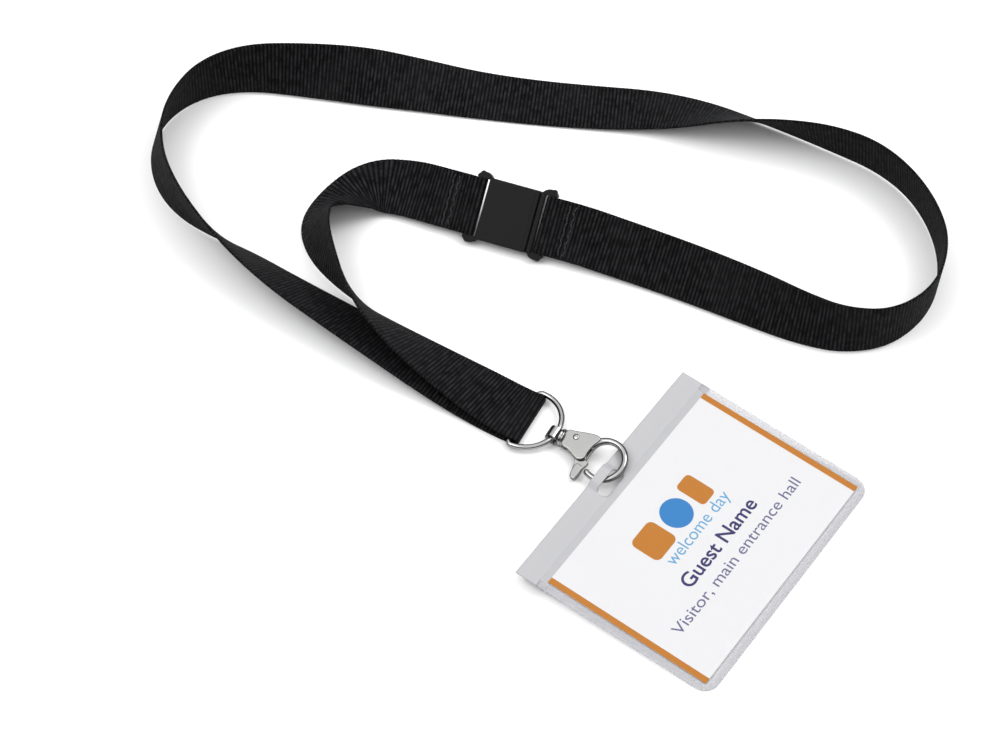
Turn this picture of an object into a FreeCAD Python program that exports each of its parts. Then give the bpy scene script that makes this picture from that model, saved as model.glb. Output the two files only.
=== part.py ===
import FreeCAD, Part
import math
import os

# Lanyard badge holder lying on a table. Millimetres, +Z up, table at z = 0.
# Strap routes and hardware seats are set out on the table first; ORIGIN_X and ORIGIN_Y then
# move everything so that the origin is the bottom centre of the hardware, strap left out.

os.makedirs("parts", exist_ok=True)

Vec = FreeCAD.Vector

# ---------------------------------------------------------------- driving dimensions
ORIGIN_X = 52.56
ORIGIN_Y = -22.65

STRAP_WIDTH = 20.4
STRAP_THICK = 0.9
STRAP_LIFT = 0.1
ARC_SHARE = 0.45
TAIL_LENGTH = 38.0

DRING_YAW = -28.0
DRING_SEAT = Vec(8.89, -19.39, 0.0)
DRING_TILT = 4.5
DRING_WIRE = 0.95
DRING_RADIUS = 11.5
DRING_CORNER = 1.3
BAR_HEIGHT = 2.0
FOLD_INNER = 1.1

EYE_SEAT = Vec(11.0, -1.9, 0.0)
EYE_RADIUS = 2.3
EYE_LENGTH = 4.2
EYE_HOLE = 1.5
EYE_FLARE = 2.05
EYE_FLARE_DEPTH = 0.7
STEM_RADIUS = 1.1
STEM_START = 1.9
STEM_END = 5.7
STEM_HEAD_RADIUS = 1.5
STEM_HEAD_START = 4.9
STEM_HEAD_ROUND = 0.25
STEM_CLEAR = 0.1
HEAD_CLEAR = 0.15
SOCKET_START = 4.75
SOCKET_END = 5.9

HOOK_YAW = -29.5
HOOK_PITCH = 7.5
HOOK_ROLL = 14.0
COLLAR_START = 2.55
COLLAR_END = 4.4
COLLAR_RADIUS = 3.1
COLLAR_ROUND = 0.35
HOOK_RING_X = 19.9
HOOK_RING_Y = -2.2
HOOK_RING_RADIUS = 6.9
HOOK_WIRE = 1.1
HOOK_RING_FROM = -122.0
HOOK_RING_TO = 150.0
NECK_HALF_WIDTH = 2.6
NECK_HALF_THICK = 2.0
CHEEK_THICK = 0.8
CHEEK_GAP = 1.8
GATE_ROOM_X = 15.4
PIVOT_X = 8.1
PIVOT_Y = 1.4
PIN_RADIUS = 0.8
PIN_HEAD_RADIUS = 1.15
PIN_HEAD_THICK = 0.3
PIN_HEAD_BEVEL = 0.3
CUT_REACH = 3.0
GATE_THICK = 1.3
PAD_EXTRA = 0.35
PAD_LEFT = 12.1
PAD_RIGHT = 13.9
PAD_TOP = -11.0
PAD_END = -11.9
GATE_BOSS = 1.6
GATE_HOLE = 0.85
SPRING_RADIUS = 1.1
SPRING_WIRE = 0.13
SPRING_START = 0.2
SPRING_ROOM = 0.2

HOLDER_SEAT = Vec(41.3, -47.2, 4.1)
HOLDER_YAW = 54.46
HOLDER_SLOPE = 3.3
HOLDER_HALF_WIDTH = 48.0
HOLDER_TOP = 10.4
HOLDER_BOTTOM = 63.4
HOLDER_CORNER = 5.5
BACK_THICK = 0.4
FRONT_THICK = 0.3
CARD_GAP = 0.05
CARD_THICK = 0.3
CARD_WIDTH = 90.0
CARD_HEIGHT = 60.0
CARD_CORNER = 1.5
WELD_SIDE = 2.4
WELD_BEAD = 0.35
BEAD_OUTER = 0.8
BEAD_INNER = 1.7
POCKET_MOUTH = 2.6
SLOT_LENGTH = 11.4
SLOT_WIDTH = 4.0
SLOT_X = -2.5
SLOT_Y = 4.9
BRIDGE_RISE = 1.9
BRIDGE_HALF = 6.6
BRIDGE_RAMP = 4.0

BUCKLE_SEAT = Vec(3.6, 60.9, 8.85)
BUCKLE_YAW = -19.5
BUCKLE_LEAN = 38.0
BUCKLE_HALF_WIDTH = 10.9
BUCKLE_THICK = 4.0
PLATE_LEFT = -9.9
SEAM_X = 8.4
PLATE_RIGHT = 9.9
BAR_X = 12.9
BAR_RADIUS = 1.1
ARM_INNER = 10.55
ARM_OUTER = 12.4
ARM_ROUND = 1.5
ARM_EDGE = 0.8
ARM_OVERLAP = 1.1
BAR_INSET = 0.3
PLATE_EDGE = 0.5
SEAM_GAP = 0.15
SHOULDER = 0.6
PRONG_TIP = 0.9
GUIDE_REACH = 3.0
GUIDE_HALF = 1.5
PRONG_REACH = -5.0
PRONG_INNER = 4.6
PRONG_OUTER = 8.3
PRONG_THICK = 2.0
CAVITY_HALF_WIDTH = 8.5
CAVITY_THICK = 2.3
CAVITY_END = -6.0
LOOP_INNER = 1.2
LOOP_SHORT = 18.9
LOOP_LONG = 23.2
LOOP_CLEAR = 26.0
LOOP_FLAT = 2.0
LAYER_GAP = 0.03

STITCH_RADIUS = 0.28
STITCH_CLEAR = 0.02
STITCH_LENGTH = 2.0
STITCH_PITCH = 2.9
STITCH_COUNT = 6
STITCH_NEAR = 20.2
STITCH_FAR = 22.2

# ---------------------------------------------------------------- strap routes
# Each row is a point of the strap's middle line (x, y, z) and its roll in degrees. Roll is
# measured at the edge that faces the big loop's inside beside the ring: 0 lies flat with
# that edge on the left of the walk, 90 stands on edge, 180 lies flat the other way up.
SHORT_ROUTE = [
    (-3, -11.6, 3.3, 4),
    (-18, -1, 4.6, 20),
    (-33, 9.5, 7.4, 37),
    (-46, 21, 10.0, 60),
    (-55.5, 36, 11.0, 90),
    (-62, 50, 10.3, 112),
    (-63, 62.5, 8.5, 128),
    (-55, 71.5, 5.9, 156),
    (-43, 78.5, 4.2, 192),
    (-31, 74.9, 6.6, 206),
]

LONG_ROUTE = [
    (36, 48.7, 8.9, 222),
    (48, 43.7, 8.6, 227),
    (66, 35.4, 8.7, 230),
    (86, 24.8, 9.3, 236),
    (101, 16, 10.2, 248),
    (115, 10.5, 10.7, 259),
    (131, 11.5, 10.8, 270),
    (145, 23, 10.8, 275),
    (151, 41, 10.8, 272),
    (149, 58, 10.8, 266),
    (142, 74, 10.8, 261),
    (131, 86, 10.8, 260),
    (117, 93.5, 10.7, 256),
    (102, 99.5, 10.0, 243),
    (86, 105, 8.2, 225),
    (70, 110.5, 4.5, 201),
    (53, 114.6, 1.9, 186),
    (34, 116.5, 1.0, 181),
    (12, 119, 0.9, 179),
    (-10, 122, 1.8, 175),
    (-31, 125, 4.2, 162),
    (-50, 125.8, 7.8, 137),
    (-70, 126.5, 9.9, 118),
    (-90, 127, 10.7, 103),
    (-106, 121.5, 10.8, 88),
    (-116.5, 110, 10.6, 76),
    (-120.5, 96, 10.5, 74),
    (-118.5, 81, 10.7, 78),
    (-112, 68, 10.8, 88),
    (-101, 55.5, 10.6, 108),
    (-88, 45, 8.8, 130),
    (-72, 32.5, 6.9, 143),
    (-54, 20, 5.6, 152),
    (-36, 7.5, 4.2, 160),
    (-18, -3.5, 1.8, 174),
    (-4, -12, 0.6, 180),
]


# ---------------------------------------------------------------- helpers
def save(shape, name):
    shape = shape.copy()
    shape.translate(Vec(-ORIGIN_X, -ORIGIN_Y, 0))
    assert shape.isValid(), name
    shape.exportStep("parts/" + name + ".step")
    box = shape.BoundBox
    print(name, "volume", round(shape.Volume, 1), "low", round(box.ZMin, 2), "solids", len(shape.Solids))
    return shape


def turned(axis, degrees):
    return FreeCAD.Rotation(axis, degrees)


def box(x0, x1, y0, y1, z0, z1):
    return Part.makeBox(x1 - x0, y1 - y0, z1 - z0, Vec(x0, y0, z0))


def plate(points, z0, z1):
    wire = Part.makePolygon([Vec(x, y, z0) for x, y in points] + [Vec(points[0][0], points[0][1], z0)])
    return Part.Face(wire).extrude(Vec(0, 0, z1 - z0))


def placed(shape, placement):
    result = shape.copy()
    result.Placement = placement.multiply(result.Placement)
    return result


def rounded(shape, radius, chosen):
    edges = [edge for edge in shape.Edges if chosen(edge)]
    return shape.makeFillet(radius, edges)


def upright(edge):
    first, last = edge.Vertexes[0].Point, edge.Vertexes[-1].Point
    return abs(first.x - last.x) < 0.01 and abs(first.y - last.y) < 0.01


# ---------------------------------------------------------------- strap
def table_rows(route):
    return [(Vec(row[0], row[1], row[2] + STRAP_LIFT), row[3]) for row in route]


def route_stations(rows, start_tangent, end_tangent):
    """Stations along straight runs joined by tangent arcs: start, middle and end of each arc."""
    points = [row[0] for row in rows]
    rolls = [row[1] for row in rows]
    stations = [(points[0], start_tangent, rolls[0])]
    radii = []
    for before, here, after, roll0, roll1, roll2 in zip(
        points, points[1:], points[2:], rolls, rolls[1:], rolls[2:]
    ):
        run_in = here - before
        run_out = after - here
        reach = ARC_SHARE * min(run_in.Length, run_out.Length)
        share_in = reach / run_in.Length
        share_out = reach / run_out.Length
        half_turn = run_in.getAngle(run_out) / 2
        radius = reach / math.tan(half_turn)
        radii.append(radius)
        along_in = Vec(run_in).normalize()
        along_out = Vec(run_out).normalize()
        start = here - along_in * reach
        end = here + along_out * reach
        inward = (along_out - along_in).normalize()
        middle = here + inward * radius * (1 / math.cos(half_turn) - 1)
        stations.append((start, along_in, roll1 + (roll0 - roll1) * share_in))
        stations.append((middle, (along_in + along_out).normalize(), roll1))
        stations.append((end, along_out, roll1 + (roll2 - roll1) * share_out))
    stations.append((points[-1], end_tangent, rolls[-1]))
    print("arc radii", [round(radius) for radius in radii])
    return stations


def across(tangent, roll):
    """Direction from one edge of the strap to the other at a station."""
    left = Vec(0, 0, 1).cross(tangent).normalize()
    above = tangent.cross(left)
    angle = math.radians(roll)
    return left * math.cos(angle) + above * math.sin(angle)


def section(station):
    middle, tangent, roll = station
    side = across(tangent, roll) * (STRAP_WIDTH / 2)
    face = side.cross(tangent).normalize() * (STRAP_THICK / 2)
    corners = [middle + side + face, middle + side - face, middle - side - face, middle - side + face]
    return Part.makePolygon(corners + [corners[0]])


def ribbon(stations):
    solid = Part.makeLoft([section(station) for station in stations], True, True)
    length = sum((b[0] - a[0]).Length for a, b in zip(stations, stations[1:]))
    share = solid.Volume / (length * STRAP_WIDTH * STRAP_THICK)
    print("strap length", round(length, 1), "volume over section times length", round(share, 3))
    return solid


def cut_route(stations, length):
    """Index of the first station that lies further along the route than length."""
    walked = 0
    for index in range(1, len(stations)):
        walked += (stations[index][0] - stations[index - 1][0]).Length
        if walked > length:
            return index
    return len(stations) - 1


# ---------------------------------------------------------------- seats of the hardware
Z_AXIS = Vec(0, 0, 1)
Y_AXIS = Vec(0, 1, 0)
X_AXIS = Vec(1, 0, 0)

bar_seat = DRING_SEAT + Vec(0, 0, BAR_HEIGHT)
dring_place = FreeCAD.Placement(bar_seat, turned(Z_AXIS, DRING_YAW))
bar_x = -DRING_CORNER
wire_out = DRING_RADIUS + DRING_CORNER
wire_rise = (EYE_SEAT.x - bar_x) * math.sin(math.radians(DRING_TILT))
eye_centre = DRING_SEAT + turned(Z_AXIS, DRING_YAW).multVec(EYE_SEAT) + Vec(0, 0, BAR_HEIGHT + wire_rise)
eye_turn = turned(Z_AXIS, HOOK_YAW).multiply(turned(Y_AXIS, -HOOK_PITCH))
eye_place = FreeCAD.Placement(eye_centre, eye_turn)
hook_place = FreeCAD.Placement(eye_centre, eye_turn.multiply(turned(X_AXIS, HOOK_ROLL)))
holder_turn = turned(Z_AXIS, HOLDER_YAW).multiply(turned(X_AXIS, HOLDER_SLOPE))
holder_place = FreeCAD.Placement(HOLDER_SEAT, holder_turn)
buckle_turn = turned(Z_AXIS, BUCKLE_YAW).multiply(turned(X_AXIS, BUCKLE_LEAN))
buckle_place = FreeCAD.Placement(BUCKLE_SEAT, buckle_turn)


# ---------------------------------------------------------------- strap pieces
def buckle_row(x):
    """Route row where the strap lies on its sewn loop beside the buckle."""
    return (buckle_place.multVec(Vec(x, 0, STRAP_THICK / 2)), 180 + BUCKLE_LEAN)


def strap_fold():
    """Half turn of webbing round the straight bar of the ring."""
    outer = Part.makeCylinder(FOLD_INNER + STRAP_THICK, STRAP_WIDTH, Vec(0, -STRAP_WIDTH / 2, 0), Y_AXIS)
    inner = Part.makeCylinder(FOLD_INNER, STRAP_WIDTH, Vec(0, -STRAP_WIDTH / 2, 0), Y_AXIS)
    reach = FOLD_INNER + STRAP_THICK
    front = box(0, reach, -STRAP_WIDTH / 2, STRAP_WIDTH / 2, -reach, reach)
    return outer.cut(inner).common(front)


def sewn_loop():
    """Webbing end turned round an outer bar of the buckle, on the +x side; mirrored for the other."""
    outer_radius = LOOP_INNER + STRAP_THICK
    half = STRAP_WIDTH / 2
    outer = Part.makeCylinder(outer_radius, STRAP_WIDTH, Vec(BAR_X, -half, 0), Y_AXIS)
    inner = Part.makeCylinder(LOOP_INNER, STRAP_WIDTH, Vec(BAR_X, -half, 0), Y_AXIS)
    turn = outer.cut(inner).common(box(BAR_X - outer_radius, BAR_X, -half, half, -outer_radius, outer_radius))
    flat_x = BAR_X + LOOP_FLAT
    profile = [(BAR_X, LOOP_INNER), (BAR_X, outer_radius), (flat_x, outer_radius)]
    profile += [(LOOP_SHORT, STRAP_THICK), (LOOP_SHORT, LAYER_GAP), (flat_x, LOOP_INNER)]
    under = [(x, -z) for x, z in profile]
    tail = box(LOOP_SHORT, LOOP_LONG, -half, half, -STRAP_THICK, -LAYER_GAP)
    legs = []
    for outline in (profile, under):
        wire = Part.makePolygon([Vec(x, -half, z) for x, z in outline + [outline[0]]])
        legs.append(Part.Face(wire).extrude(Vec(0, STRAP_WIDTH, 0)))
    return turn.fuse(legs[0]).fuse(legs[1]).fuse(tail).removeSplitter()


def stitch_row(count, pitch, length, radius):
    """A row of short thread stitches across the webbing, each a capsule."""
    row = []
    for index in range(count):
        start = Vec(0, (index - (count - 1) / 2) * pitch - length / 2, 0)
        thread = Part.makeCylinder(radius, length, start, Y_AXIS)
        thread = thread.fuse(Part.makeSphere(radius, start))
        row.append(thread.fuse(Part.makeSphere(radius, start + Vec(0, length, 0))))
    return row


def stitch_block(x_positions, height):
    threads = []
    for x in x_positions:
        for thread in stitch_row(STITCH_COUNT, STITCH_PITCH, STITCH_LENGTH, STITCH_RADIUS):
            moved = thread.copy()
            moved.translate(Vec(x, 0, height))
            threads.append(moved)
    return Part.makeCompound(threads)


ring_way = turned(Z_AXIS, DRING_YAW).multVec(X_AXIS)
buckle_way = buckle_turn.multVec(X_AXIS)
fold_middle = FOLD_INNER + STRAP_THICK / 2
upper_start = (bar_seat + Vec(0, 0, fold_middle), 0)
lower_end = (bar_seat - Vec(0, 0, fold_middle), 180)

short_rows = [upper_start] + table_rows(SHORT_ROUTE) + [buckle_row(-LOOP_CLEAR), buckle_row(-LOOP_SHORT)]
save(ribbon(route_stations(short_rows, ring_way * -1, buckle_way)), "strap_short")

long_rows = [buckle_row(LOOP_SHORT), buckle_row(LOOP_CLEAR)] + table_rows(LONG_ROUTE) + [lower_end]
long_stations = route_stations(long_rows, buckle_way, ring_way)
split = cut_route(long_stations, TAIL_LENGTH)
save(ribbon(long_stations[: split + 1]), "strap_release")
save(ribbon(long_stations[split:]), "strap_long")
save(placed(strap_fold(), dring_place), "strap_fold")

loop = sewn_loop()
mirrored_loop = loop.mirror(Vec(0, 0, 0), X_AXIS)
save(placed(loop, buckle_place), "strap_loop_male")
save(placed(mirrored_loop, buckle_place), "strap_loop_female")

stitch_height = STRAP_THICK + STITCH_RADIUS + STITCH_CLEAR
save(placed(stitch_block([STITCH_NEAR, STITCH_FAR], stitch_height), buckle_place), "stitches_male")
save(placed(stitch_block([-STITCH_NEAR, -STITCH_FAR], stitch_height), buckle_place), "stitches_female")


# ---------------------------------------------------------------- breakaway buckle
def end_frame(side, plate_edge):
    """Outer bar and its two rounded side arms, on the side given by +1 or -1."""
    bar_half = ARM_OUTER - BAR_INSET
    frame = Part.makeCylinder(BAR_RADIUS, 2 * bar_half, Vec(side * BAR_X, -bar_half, 0), Y_AXIS)
    inner_x = plate_edge - side * ARM_OVERLAP
    outer_x = side * (BAR_X + ARM_ROUND)
    low_x, high_x = min(inner_x, outer_x), max(inner_x, outer_x)
    for low_y, high_y in ((ARM_INNER, ARM_OUTER), (-ARM_OUTER, -ARM_INNER)):
        arm = box(low_x, high_x, low_y, high_y, -ARM_ROUND, ARM_ROUND)
        arm = rounded(arm, ARM_EDGE, lambda edge: not upright(edge))
        frame = frame.fuse(arm)
    return frame


def half_plate(low_x, high_x):
    half_thick = BUCKLE_THICK / 2
    body = box(low_x, high_x, -BUCKLE_HALF_WIDTH, BUCKLE_HALF_WIDTH, -half_thick, half_thick)
    along = [edge for edge in body.Edges if abs(edge.Vertexes[0].X - edge.Vertexes[-1].X) > SEAM_GAP]
    return body.makeFillet(PLATE_EDGE, along)


def female_half():
    body = half_plate(PLATE_LEFT, SEAM_X)
    half_cavity = CAVITY_THICK / 2
    wide = CAVITY_HALF_WIDTH
    cavity = box(CAVITY_END, SEAM_X + SHOULDER, -wide, wide, -half_cavity, half_cavity)
    return body.cut(cavity).fuse(end_frame(-1, PLATE_LEFT)).removeSplitter()


def male_half():
    body = half_plate(SEAM_X + SEAM_GAP, PLATE_RIGHT + SHOULDER).fuse(end_frame(1, PLATE_RIGHT))
    half_prong = PRONG_THICK / 2
    for low_y, high_y in ((PRONG_INNER, PRONG_OUTER), (-PRONG_OUTER, -PRONG_INNER)):
        prong = box(PRONG_REACH, SEAM_X + SHOULDER, low_y, high_y, -half_prong, half_prong)
        tips = rounded(prong, PRONG_TIP, lambda edge: upright(edge) and edge.Vertexes[0].X < SEAM_X)
        body = body.fuse(tips)
    guide = box(SEAM_X - GUIDE_REACH, SEAM_X + SHOULDER, -GUIDE_HALF, GUIDE_HALF, -half_prong, half_prong)
    return body.fuse(guide).removeSplitter()


save(placed(female_half(), buckle_place), "buckle_female")
save(placed(male_half(), buckle_place), "buckle_male")


# ---------------------------------------------------------------- D-shaped ring
def wire_along(path, radius, start, direction):
    profile = Part.Wire(Part.makeCircle(radius, start, direction))
    return path.makePipeShell([profile], True, False)


def d_ring():
    """Half circle of round wire closed by a straight bar, with tight corners."""
    arc = Part.Arc(Vec(0, -DRING_RADIUS, 0), Vec(DRING_RADIUS, 0, 0), Vec(0, DRING_RADIUS, 0))
    diagonal = DRING_CORNER * math.sqrt(0.5)
    corner_y = DRING_RADIUS - DRING_CORNER
    edges = [arc.toShape()]
    top_mid = Vec(-diagonal, corner_y + diagonal, 0)
    top_end = Vec(-DRING_CORNER, corner_y, 0)
    low_end = Vec(-DRING_CORNER, -corner_y, 0)
    low_mid = Vec(-diagonal, -corner_y - diagonal, 0)
    edges.append(Part.Arc(Vec(0, DRING_RADIUS, 0), top_mid, top_end).toShape())
    edges.append(Part.LineSegment(top_end, low_end).toShape())
    edges.append(Part.Arc(low_end, low_mid, Vec(0, -DRING_RADIUS, 0)).toShape())
    pieces = []
    for edge in edges:
        start = edge.valueAt(edge.FirstParameter)
        direction = edge.tangentAt(edge.FirstParameter)
        pieces.append(wire_along(Part.Wire([edge]), DRING_WIRE, start, direction))
    ring = pieces[0].fuse(pieces[1:]).removeSplitter()
    tilt = FreeCAD.Placement(Vec(0, 0, 0), turned(Y_AXIS, -DRING_TILT), Vec(bar_x, 0, 0))
    return placed(ring, tilt)


save(placed(d_ring(), dring_place), "d_ring")


# ---------------------------------------------------------------- swivel eye
def swivel_eye():
    """Barrel round the ring's wire, with a stem and a riveted head that the hook turns on."""
    start = Vec(0, -EYE_LENGTH / 2, 0)
    barrel = Part.makeCylinder(EYE_RADIUS, EYE_LENGTH, start, Y_AXIS)
    hole = Part.makeCylinder(EYE_HOLE, EYE_LENGTH, start, Y_AXIS)
    for side in (1, -1):
        mouth = Vec(0, side * EYE_LENGTH / 2, 0)
        cone = Part.makeCone(EYE_FLARE, EYE_HOLE, EYE_FLARE_DEPTH, mouth, Y_AXIS * -side)
        hole = hole.fuse(cone)
    stem = Part.makeCylinder(STEM_RADIUS, STEM_END - STEM_START, Vec(STEM_START, 0, 0), X_AXIS)
    head_length = STEM_END - STEM_HEAD_START
    head = Part.makeCylinder(STEM_HEAD_RADIUS, head_length, Vec(STEM_HEAD_START, 0, 0), X_AXIS)
    rims = [edge for edge in head.Edges if edge.Length > 2 * STEM_HEAD_RADIUS]
    head = head.makeFillet(STEM_HEAD_ROUND, rims)
    return barrel.fuse(stem).cut(hole).fuse(head).removeSplitter()


save(placed(swivel_eye(), eye_place), "swivel_eye")


# ---------------------------------------------------------------- hook body
CHEEK_OUTLINE = [
    (4.3, 3.2),
    (12.1, 4.4),
    (15.2, 4.4),
    (15.6, 1.8),
    (14.5, 0.1),
    (14.1, -2.2),
    (13.9, -4.2),
    (12.6, -5.3),
    (10.6, -5.2),
    (4.3, -2.7),
]
SPINE_OUTLINE = [(4.3, 3.2), (12.1, 4.4), (15.0, 4.2), (13.0, 3.8), (4.3, 2.7)]


def hook_body():
    """Collar, two cheeks with a spine between them, and the open ring of the claw."""
    collar = Part.makeCylinder(COLLAR_RADIUS, COLLAR_END - COLLAR_START, Vec(COLLAR_START, 0, 0), X_AXIS)
    rims = [edge for edge in collar.Edges if edge.Length > 2 * COLLAR_RADIUS and len(edge.Vertexes) == 1]
    collar = collar.makeFillet(COLLAR_ROUND, rims)
    half_gap = CHEEK_GAP / 2
    upper = plate(CHEEK_OUTLINE, half_gap, half_gap + CHEEK_THICK)
    lower = plate(CHEEK_OUTLINE, -half_gap - CHEEK_THICK, -half_gap)
    spine = plate(SPINE_OUTLINE, -half_gap, half_gap)
    neck_y = NECK_HALF_WIDTH
    neck_z = NECK_HALF_THICK
    neck = box(COLLAR_END - COLLAR_ROUND, SOCKET_END, -neck_y, neck_y, -neck_z, neck_z)
    socket_length = SOCKET_END - SOCKET_START
    socket = Part.makeCylinder(STEM_HEAD_RADIUS + HEAD_CLEAR, socket_length, Vec(SOCKET_START, 0, 0), X_AXIS)
    bore = Part.makeCylinder(STEM_RADIUS + STEM_CLEAR, SOCKET_START, Vec(STEM_START, 0, 0), X_AXIS)
    pivot = Part.makeCylinder(PIN_RADIUS, 2 * CUT_REACH, Vec(PIVOT_X, PIVOT_Y, -CUT_REACH), Z_AXIS)
    centre = Vec(HOOK_RING_X, HOOK_RING_Y, 0)
    wire_path = Part.makeCircle(HOOK_RING_RADIUS, centre, Z_AXIS, HOOK_RING_FROM, HOOK_RING_TO)
    start = wire_path.valueAt(wire_path.FirstParameter)
    claw = wire_along(Part.Wire([wire_path]), HOOK_WIRE, start, wire_path.tangentAt(wire_path.FirstParameter))
    claw = claw.fuse(Part.makeSphere(HOOK_WIRE, start))
    claw = claw.cut(box(COLLAR_END, GATE_ROOM_X, -HOOK_RING_RADIUS, HOOK_RING_RADIUS, -half_gap, half_gap))
    body = collar.fuse(upper).fuse(lower).fuse(spine).fuse(neck).fuse(claw)
    return body.cut(socket).cut(bore).cut(pivot).removeSplitter()


save(placed(hook_body(), hook_place), "hook_body")


# ---------------------------------------------------------------- gate with thumb lever
GATE_OUTLINE = [
    (7.4, 2.4),
    (9.6, 2.7),
    (13.2, 1.4),
    (13.7, -2.4),
    (14.3, -4.2),
    (15.3, -4.9),
    (15.3, -5.8),
    (14.7, -7.5),
    (13.9, -11.9),
    (11.7, -11.2),
    (10.5, -5.6),
    (7.0, 0.2),
]


def gate_lever():
    half = GATE_THICK / 2
    lever = plate(GATE_OUTLINE, -half, half)
    lever = lever.fuse(Part.makeCylinder(GATE_BOSS, GATE_THICK, Vec(PIVOT_X, PIVOT_Y, -half), Z_AXIS))
    pad_half = half + PAD_EXTRA
    tip_pad = box(PAD_LEFT, PAD_RIGHT, PAD_END, PAD_TOP, -pad_half, pad_half)
    hole = Part.makeCylinder(GATE_HOLE, 2 * CUT_REACH, Vec(PIVOT_X, PIVOT_Y, -CUT_REACH), Z_AXIS)
    room = Part.makeCylinder(SPRING_RADIUS + SPRING_ROOM, GATE_THICK / 2, Vec(PIVOT_X, PIVOT_Y, 0), Z_AXIS)
    return lever.fuse(tip_pad).cut(hole).cut(room).removeSplitter()


def gate_pin():
    reach = CHEEK_GAP / 2 + CHEEK_THICK
    pin = Part.makeCylinder(PIN_RADIUS, 2 * reach, Vec(PIVOT_X, PIVOT_Y, -reach), Z_AXIS)
    top_radius = PIN_HEAD_RADIUS - PIN_HEAD_BEVEL
    for base, direction in ((reach, Z_AXIS), (-reach, Z_AXIS * -1)):
        seat = Vec(PIVOT_X, PIVOT_Y, base)
        head = Part.makeCone(PIN_HEAD_RADIUS, top_radius, PIN_HEAD_THICK, seat, direction)
        pin = pin.fuse(head)
    return pin


def gate_spring():
    """Two closed turns of fine wire round the pin, in the gate's recess."""
    turns = []
    for height in (SPRING_START, SPRING_START + 2 * SPRING_WIRE):
        turns.append(Part.makeTorus(SPRING_RADIUS, SPRING_WIRE, Vec(PIVOT_X, PIVOT_Y, height), Z_AXIS))
    return Part.makeCompound(turns)


save(placed(gate_lever(), hook_place), "gate_lever")
save(placed(gate_pin(), hook_place), "gate_pin")
save(placed(gate_spring(), hook_place), "gate_spring")


# ---------------------------------------------------------------- vinyl holder and card
def rounded_sheet(half_width, top, bottom, corner, z0, z1):
    """Sheet with square upper corners and rounded lower ones; y runs up towards the flange."""
    sheet = box(-half_width, half_width, -bottom, top, z0, z1)
    low = [edge for edge in sheet.Edges if upright(edge) and edge.Vertexes[0].Y < 0]
    return sheet.makeFillet(corner, low)


def slot_cut(z0, z1):
    reach = (SLOT_LENGTH - SLOT_WIDTH) / 2
    half = SLOT_WIDTH / 2
    cut = box(SLOT_X - reach, SLOT_X + reach, SLOT_Y - half, SLOT_Y + half, z0, z1)
    for side in (-1, 1):
        end = Part.makeCylinder(half, z1 - z0, Vec(SLOT_X + side * reach, SLOT_Y, z0), Z_AXIS)
        cut = cut.fuse(end)
    return cut


def flange_bridge():
    """Strip between the slot and the flange's edge, bowed up over the hook's wire."""
    flat = BRIDGE_HALF - BRIDGE_RAMP
    profile = [(-BRIDGE_HALF, 0), (-flat, BRIDGE_RISE), (flat, BRIDGE_RISE), (BRIDGE_HALF, 0)]
    under = [(x, z - BACK_THICK) for x, z in reversed(profile)]
    low_y = SLOT_Y + SLOT_WIDTH / 2
    outline = [Vec(SLOT_X + x, low_y, z) for x, z in profile + under]
    face = Part.Face(Part.makePolygon(outline + [outline[0]]))
    return face.extrude(Vec(0, HOLDER_TOP - low_y, 0))


def holder_back():
    sheet = rounded_sheet(HOLDER_HALF_WIDTH, HOLDER_TOP, HOLDER_BOTTOM, HOLDER_CORNER, -BACK_THICK, 0)
    low_y = SLOT_Y + SLOT_WIDTH / 2
    low_x, high_x = SLOT_X - BRIDGE_HALF, SLOT_X + BRIDGE_HALF
    room = box(low_x, high_x, low_y, HOLDER_TOP + CUT_REACH, -CUT_REACH, CUT_REACH)
    return sheet.cut(slot_cut(-CUT_REACH, CUT_REACH)).cut(room).fuse(flange_bridge()).removeSplitter()


card_low = CARD_GAP
card_high = CARD_GAP + CARD_THICK
front_low = card_high + CARD_GAP


def holder_front():
    inner = HOLDER_HALF_WIDTH - WELD_SIDE
    bottom = HOLDER_BOTTOM - WELD_SIDE
    corner = HOLDER_CORNER - WELD_SIDE
    return rounded_sheet(inner, POCKET_MOUTH, bottom, corner, front_low, front_low + FRONT_THICK)


def rim_between(outset, inset, low_z, high_z):
    """Rim that follows both sides and the bottom, between two distances from the outline."""
    solids = []
    body_size = (outset, low_z, high_z, 0)
    hole_size = (inset, low_z - CUT_REACH, high_z + CUT_REACH, CUT_REACH)
    for share, z0, z1, open_top in (body_size, hole_size):
        half = HOLDER_HALF_WIDTH - share
        bottom = HOLDER_BOTTOM - share
        solids.append(rounded_sheet(half, POCKET_MOUTH + open_top, bottom, HOLDER_CORNER - share, z0, z1))
    return solids[0].cut(solids[1])


def weld_seam():
    """Welded rim along both sides and the bottom, with a raised bead down its middle."""
    top = front_low + FRONT_THICK
    rim = rim_between(0, WELD_SIDE, 0, top)
    return rim.fuse(rim_between(BEAD_OUTER, BEAD_INNER, 0, top + WELD_BEAD)).removeSplitter()


def card():
    half = CARD_WIDTH / 2
    sheet = box(-half, half, -CARD_HEIGHT, 0, card_low, card_high)
    return sheet.makeFillet(CARD_CORNER, [edge for edge in sheet.Edges if upright(edge)])


save(placed(holder_back(), holder_place), "holder_back")
save(placed(holder_front(), holder_place), "holder_front")
save(placed(weld_seam(), holder_place), "weld_seam")
save(placed(card(), holder_place), "card")
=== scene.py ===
import math
import bpy
from mathutils import Matrix, Vector


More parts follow.
